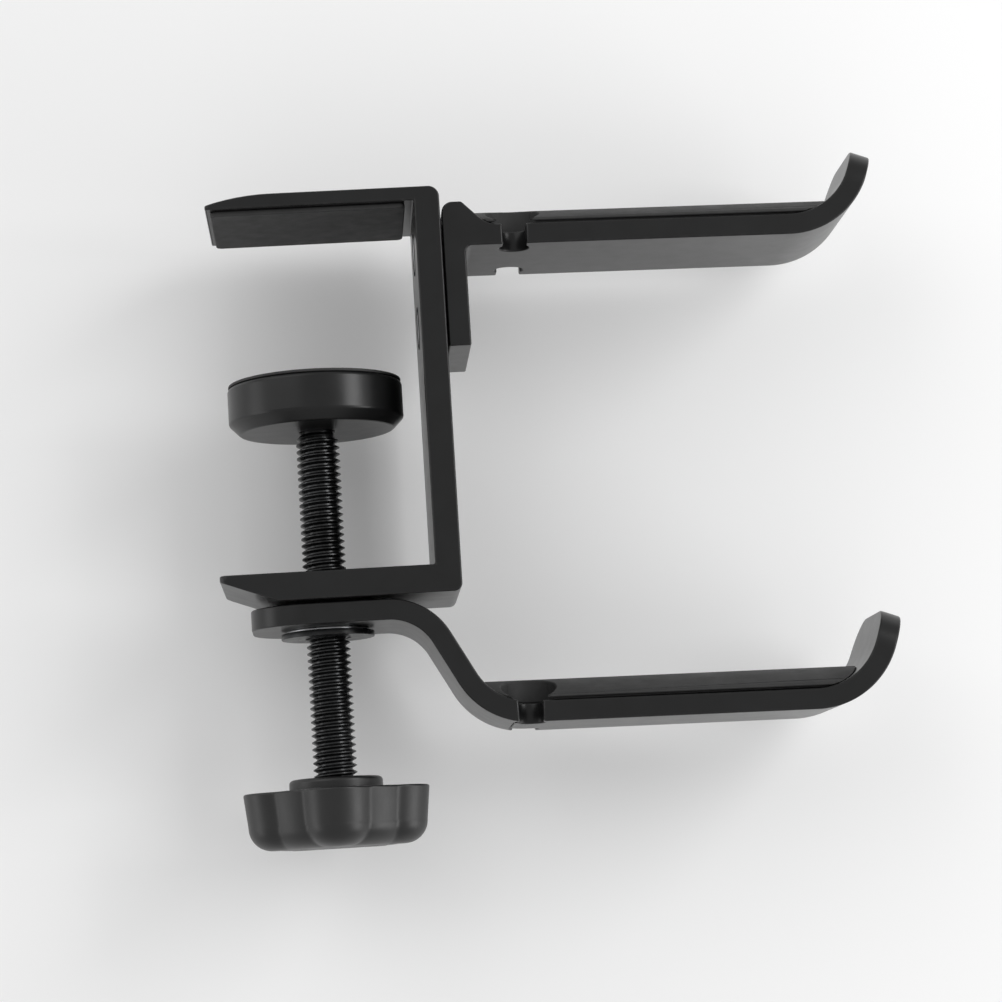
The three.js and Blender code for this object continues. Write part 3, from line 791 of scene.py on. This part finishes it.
def bracket_screw(z):
    """A countersunk bracket screw, with its head flush in the web."""
    profile = [(M4_HEAD_RADIUS, 0), (M4_RADIUS, M4_HEAD_HEIGHT), (M4_RADIUS, M4_LENGTH)]
    socket = rod(M4_SOCKET_RADIUS, -OVERRUN, M4_SOCKET_DEPTH, HEXAGON_SIDES)
    return moved(cut(turned(profile, SMALL_SIDES), socket), spin(90, "Y"), shift(WEB_INNER_X, 0, z))


piece("upper_hook", upper_hook(), "clamp", coat)
rubber_pad("upper_hook_pad", upper_hook_pad(), "clamp", RUBBER_EDGE)
for screw_name, screw_z in BRACKET_SCREW_Z.items():
    piece(screw_name, bracket_screw(screw_z), "clamp", zinc, SMALL_EDGE)

# ---------------------------------------------------------------- swivelling lower hook

swivel_start = (SWIVEL_END_X, plate_top_z - PLATE_THICKNESS / 2)
swivel_steps = [
    SWIVEL_PLATE_RUN,
    (SHOULDER_RADIUS, -SLANT_ANGLE),
    SLANT_RUN,
    (ELBOW_RADIUS, SLANT_ANGLE - DROOP),
    LOWER_ARM_RUN,
    (TIP_BEND_RADIUS, TIP_ANGLE + DROOP),
    LOWER_TIP_RUN,
]


def swivel_arm():
    """The bent arm of the lower hook, bored for the bushing and round at its swivel end."""
    half = PLATE_THICKNESS / 2
    above = trace(swivel_start, 0, swivel_steps, half)
    below = trace(swivel_start, 0, swivel_steps, -half)
    low_z = min(z for _, z in below)
    end = trace(swivel_start, 0, swivel_steps)[-1]
    plate = hook_plate([*above, *reversed(below)], end, LOWER_NOTCH_X, low_z - OVERRUN, low_z + TALL)
    plan = rounded_plan(SWIVEL_END_X, LONG, HOOK_WIDTH / 2, SWIVEL_END_RADIUS)
    rounded = common(plate, plan_prism(plan, low_z - OVERRUN, plate_top_z + OVERRUN))
    hole = rod(washer_bore, plate_bottom_z - OVERRUN, plate_top_z + OVERRUN, ROUND_SIDES)
    return cut(rounded, hole)


def swivel_arm_pad():
    """The lower hook's saddle pad, which starts where the slant does."""
    lift = PLATE_THICKNESS / 2 + REST_GAP
    face = trace(swivel_start, 0, swivel_steps, lift)
    shoulder_end = 1 + math.ceil(SLANT_ANGLE / BEND_STEP)
    elbow_end = shoulder_end + 1 + math.ceil((SLANT_ANGLE - DROOP) / BEND_STEP)
    foot = (face[elbow_end].x, face[elbow_end].y - REST_GAP)
    return saddle_pad(face[shoulder_end:], foot, LOWER_NOTCH_X)


piece("swivel_arm", swivel_arm(), "swivel_hook", coat)
rubber_pad("swivel_arm_pad", swivel_arm_pad(), "swivel_hook", RUBBER_EDGE)

# ---------------------------------------------------------------- swivel bushing and washers


def swivel_bushing():
    """The flanged bushing that the arm swivels on."""
    top_z = lower_jaw_z + BUSHING_RIM
    bottom_z = flange_top_z - FLANGE_THICKNESS
    profile = [
        (screw_bore, bottom_z),
        (FLANGE_RADIUS, bottom_z),
        (FLANGE_RADIUS, flange_top_z),
        (BUSHING_RADIUS, flange_top_z),
        (BUSHING_RADIUS, top_z),
        (screw_bore, top_z),
    ]
    return turned(profile, hollow=True)


friction_washer = tube(washer_bore, FRICTION_WASHER_RADIUS, plate_top_z, frame_bottom_z)
spring_washer = tube(washer_bore, SPRING_WASHER_RADIUS, flange_top_z, plate_bottom_z)
piece("swivel_bushing", swivel_bushing(), "clamp", oxide, SMALL_EDGE)
piece("friction_washer", friction_washer, "clamp", nylon, SMALL_EDGE)
piece("spring_washer", spring_washer, "clamp", zinc, SMALL_EDGE)

# ---------------------------------------------------------------- pressure disc


def pressure_disc():
    """The disc, with a socket for the screw's ball, which a swaged lip underneath keeps in."""
    socket_radius = BALL_RADIUS + FIT_GAP
    lip_angle = math.degrees(math.acos(DISC_LIP_RADIUS / socket_radius))
    profile = [
        *arc(0, BALL_Z, socket_radius, 90, -lip_angle),
        (DISC_LIP_RADIUS, DISC_BOTTOM_Z),
        (DISC_RADIUS - DISC_CHAMFER, DISC_BOTTOM_Z),
        (DISC_RADIUS, DISC_BOTTOM_Z + DISC_CHAMFER),
        (DISC_RADIUS, disc_top_z - DISC_EDGE),
        (DISC_RADIUS - DISC_EDGE, disc_top_z),
    ]
    return turned(profile)


disc_pad = rod(DISC_PAD_RADIUS, disc_top_z, disc_top_z + DISC_PAD_THICKNESS, ROUND_SIDES)
piece("pressure_disc", pressure_disc(), "pressure_foot", coat)
rubber_pad("pressure_disc_pad", disc_pad, "pressure_foot", SMALL_EDGE)

# ---------------------------------------------------------------- clamp screw

# One turn of the thread: how far along the pitch each corner of its section lies, and its radius.
root_radius = SCREW_RADIUS - THREAD_DEPTH
thread_section = [
    (0, root_radius),
    (THREAD_ROOT_END, root_radius),
    (THREAD_CREST_START, SCREW_RADIUS),
    (THREAD_CREST_END, SCREW_RADIUS),
]


def thread_grid(bottom_z, top_z):
    """Rows of points that climb round the screw with the thread. Past an end they gather on its rim."""
    turns = math.ceil((top_z - bottom_z) / THREAD_PITCH) + SPARE_TURNS
    rows = []
    for turn in range(-SPARE_TURNS, turns):
        for along, radius in thread_section:
            row = []
            for i in range(THREAD_SIDES):
                share = i / THREAD_SIDES
                z = min(max(bottom_z + THREAD_PITCH * (turn + along + share), bottom_z), top_z)
                limit = screw_end_radius + min(z - bottom_z, top_z - z)
                row.append((*polar(min(radius, limit), 360 * share), z))
            rows.append(row)
    return rows


def clamp_screw():
    """The screw: its thread, the plain neck and the ball end, as one closed surface."""
    rows = thread_grid(SCREW_END_Z, neck_end_z)
    points = [p for row in rows for p in row]
    sides, step = THREAD_SIDES, len(thread_section)
    faces = []
    for j in range(len(rows) - 1 - step):
        for i in range(sides):
            lift = step if i == sides - 1 else 0
            near, far = j * sides + i, (j + lift) * sides + (i + 1) % sides
            faces.append([near, far, far + sides, near + sides])
    neck_angle = math.degrees(math.asin(NECK_RADIUS / BALL_RADIUS)) - 90
    ball = arc(0, BALL_Z, BALL_RADIUS, neck_angle, 90)
    neck = [(screw_end_radius, neck_end_z), (NECK_RADIUS, neck_end_z), *ball[:-1]]
    first = len(points)
    for radius, z in neck:
        points.extend(ring(radius, z, sides))
    for k in range(len(neck) - 1):
        faces.extend(band(first + k * sides, first + (k + 1) * sides, sides))
    faces.append(list(range(len(points) - sides, len(points))))
    faces.append(list(range(len(points), len(points) + sides)))
    points.extend(ring(screw_end_radius, SCREW_END_Z, sides))
    return solid(points, faces)


piece("clamp_screw", clamp_screw(), "screw_and_knob", oxide, edge=0)

# ---------------------------------------------------------------- knob


def knob_reach(angle, inset):
    """How far the lobed outline is from the axis in one direction, with the outline drawn in by inset."""
    lobe_step = 2 * math.pi / LOBES
    from_lobe = abs((angle + lobe_step / 2) % lobe_step - lobe_step / 2)
    across = LOBE_CENTRE_RADIUS * math.sin(from_lobe)
    lobe = max(0.0, (LOBE_RADIUS - inset) ** 2 - across**2)
    lobe_reach = LOBE_CENTRE_RADIUS * math.cos(from_lobe) + math.sqrt(lobe) if lobe else 0.0
    core_reach = KNOB_CORE_RADIUS - inset
    gap = max(0.0, VALLEY_BLEND - abs(lobe_reach - core_reach)) / VALLEY_BLEND
    return max(lobe_reach, core_reach) + gap * gap * VALLEY_BLEND / 4


def knob():
    """The knob: five lobes with drafted sides and a deep rounding underneath."""
    round_z = knob_bottom_z + KNOB_BOTTOM_ROUND
    corner = arc(0, 0, KNOB_BOTTOM_ROUND, -90, 0)
    levels = [(KNOB_DRAFT + KNOB_BOTTOM_ROUND - x, round_z + y) for x, y in corner]
    top_edge = arc(0, 0, KNOB_TOP_ROUND, 0, 90)[::KNOB_TOP_STRIDE]
    levels += [(KNOB_TOP_ROUND - x, KNOB_TOP_Z - KNOB_TOP_ROUND + y) for x, y in top_edge]
    rings = []
    for inset, z in levels:
        turns = [360 * i / KNOB_SIDES for i in range(KNOB_SIDES)]
        rings.append([(*polar(knob_reach(math.radians(t), inset), t + KNOB_TURN), z) for t in turns])
    insert_end_z = KNOB_TOP_Z - INSERT_LENGTH - FIT_GAP
    insert_hole = rod(INSERT_RADIUS + FIT_GAP, insert_end_z, KNOB_TOP_Z + OVERRUN)
    cap_top_z = knob_bottom_z + CAP_THICKNESS + FIT_GAP
    cap_seat = rod(CAP_RADIUS + FIT_GAP, knob_bottom_z - OVERRUN, cap_top_z)
    return cut(rings_solid(rings), insert_hole, cap_seat)


def knob_collar():
    """The round collar on the knob."""
    top_z = KNOB_TOP_Z + COLLAR_HEIGHT
    rounding = arc(COLLAR_RADIUS - COLLAR_ROUND, top_z - COLLAR_ROUND, COLLAR_ROUND, 0, 90)
    profile = [(screw_bore, KNOB_TOP_Z), (COLLAR_RADIUS, KNOB_TOP_Z), *rounding, (screw_bore, top_z)]
    return turned(profile, hollow=True)


insert = tube(screw_bore, INSERT_RADIUS, KNOB_TOP_Z - INSERT_LENGTH, KNOB_TOP_Z)
cap = rod(CAP_RADIUS, knob_bottom_z, knob_bottom_z + CAP_THICKNESS)
piece("knob", knob(), "screw_and_knob", plastic, edge=0)
piece("knob_collar", knob_collar(), "screw_and_knob", plastic, SMALL_EDGE)
piece("knob_insert", insert, "screw_and_knob", zinc, SMALL_EDGE)
piece("knob_cap", cap, "screw_and_knob", plastic, SMALL_EDGE)

# ---------------------------------------------------------------- backdrop, light and camera

BACKDROP_Y = 25
BACKDROP_SIZE = 4000
BACKDROP_TONE = 0.88
BACKDROP_ROUGHNESS = 0.8
BACKDROP_SHINE = 0.2
CAMERA_PLACE = (0.99, -541.8, -126.0)
CAMERA_YAW = 3.414
CAMERA_PITCH = 7.631
CAMERA_ROLL = -3.587
CAMERA_LENS = 106.1
CAMERA_SENSOR = 36
CAMERA_CLIP = (10, 10000)
WORLD_BRIGHTNESS = 0.61
LIGHT_TARGET = (35, 0, -55)

# Each light's place, its width and height, and its power in watts
LIGHTS = {
    "key": ((560, -460, 130), (240, 460), 2.1),
    "low": ((620, -200, -300), (350, 350), 1.3),
    "rim": ((-650, -80, -150), (300, 600), 0.9),
    "top": ((-420, -460, 380), (700, 700), 1.3),
}


def backdrop():
    """The pale surface close behind the object. From behind it isn't seen."""
    half = BACKDROP_SIZE / 2
    corners = [(-half, -half), (half, -half), (half, half), (-half, half)]
    mesh = bpy.data.meshes.new("backdrop")
    mesh.from_pydata([(x * MM, BACKDROP_Y * MM, z * MM) for x, z in corners], [], [(0, 1, 2, 3)])
    sheet = bpy.data.objects.new("backdrop", mesh)
    bpy.context.scene.collection.objects.link(sheet)
    made = Nodes("backdrop_paper")
    made.shader.inputs["Base Color"].default_value = (*grey(BACKDROP_TONE), 1)
    made.shader.inputs["Roughness"].default_value = BACKDROP_ROUGHNESS
    made.shader.inputs["Specular IOR Level"].default_value = BACKDROP_SHINE
    clear = made.tree.nodes.new("ShaderNodeBsdfTransparent")
    side = made.tree.nodes.new("ShaderNodeNewGeometry")
    choice = made.tree.nodes.new("ShaderNodeMixShader")
    made.join(side.outputs["Backfacing"], choice.inputs["Fac"])
    made.join(made.shader.outputs["BSDF"], choice.inputs[1])
    made.join(clear.outputs["BSDF"], choice.inputs[2])
    made.join(choice.outputs["Shader"], made.tree.nodes["Material Output"].inputs["Surface"])
    mesh.materials.append(made.material)


def area_light(name, place, size, power):
    """A soft rectangular light at a place, facing the object."""
    light = bpy.data.lights.new(name, "AREA")
    light.shape = "RECTANGLE"
    light.size = size[0] * MM
    light.size_y = size[1] * MM
    light.energy = power
    lamp = bpy.data.objects.new(name, light)
    direction = Vector(LIGHT_TARGET) - Vector(place)
    lamp.rotation_euler = direction.to_track_quat("-Z", "Y").to_euler()
    lamp.location = Vector(place) * MM
    bpy.context.scene.collection.objects.link(lamp)


def world_light():
    """Even light from all round."""
    world = bpy.data.worlds.new("studio")
    world.use_nodes = True
    background = world.node_tree.nodes["Background"]
    background.inputs["Color"].default_value = (*grey(1.0), 1)
    background.inputs["Strength"].default_value = WORLD_BRIGHTNESS
    bpy.context.scene.world = world


def camera():
    """The camera, turned from level by its yaw towards +X, its pitch up and its roll."""
    data = bpy.data.cameras.new("camera")
    data.lens = CAMERA_LENS
    data.sensor_width = CAMERA_SENSOR
    data.clip_start, data.clip_end = (c * MM for c in CAMERA_CLIP)
    eye = bpy.data.objects.new("camera", data)
    turn = spin(-CAMERA_YAW, "Z") @ spin(90 + CAMERA_PITCH, "X") @ spin(CAMERA_ROLL, "Z")
    eye.matrix_world = shift(*(c * MM for c in CAMERA_PLACE)) @ turn
    bpy.context.scene.collection.objects.link(eye)
    bpy.context.scene.camera = eye


backdrop()
for light_name, (light_place, light_size, light_power) in LIGHTS.items():
    area_light(light_name, light_place, light_size, light_power)
world_light()
camera()
bpy.context.scene.view_settings.view_transform = "Standard"
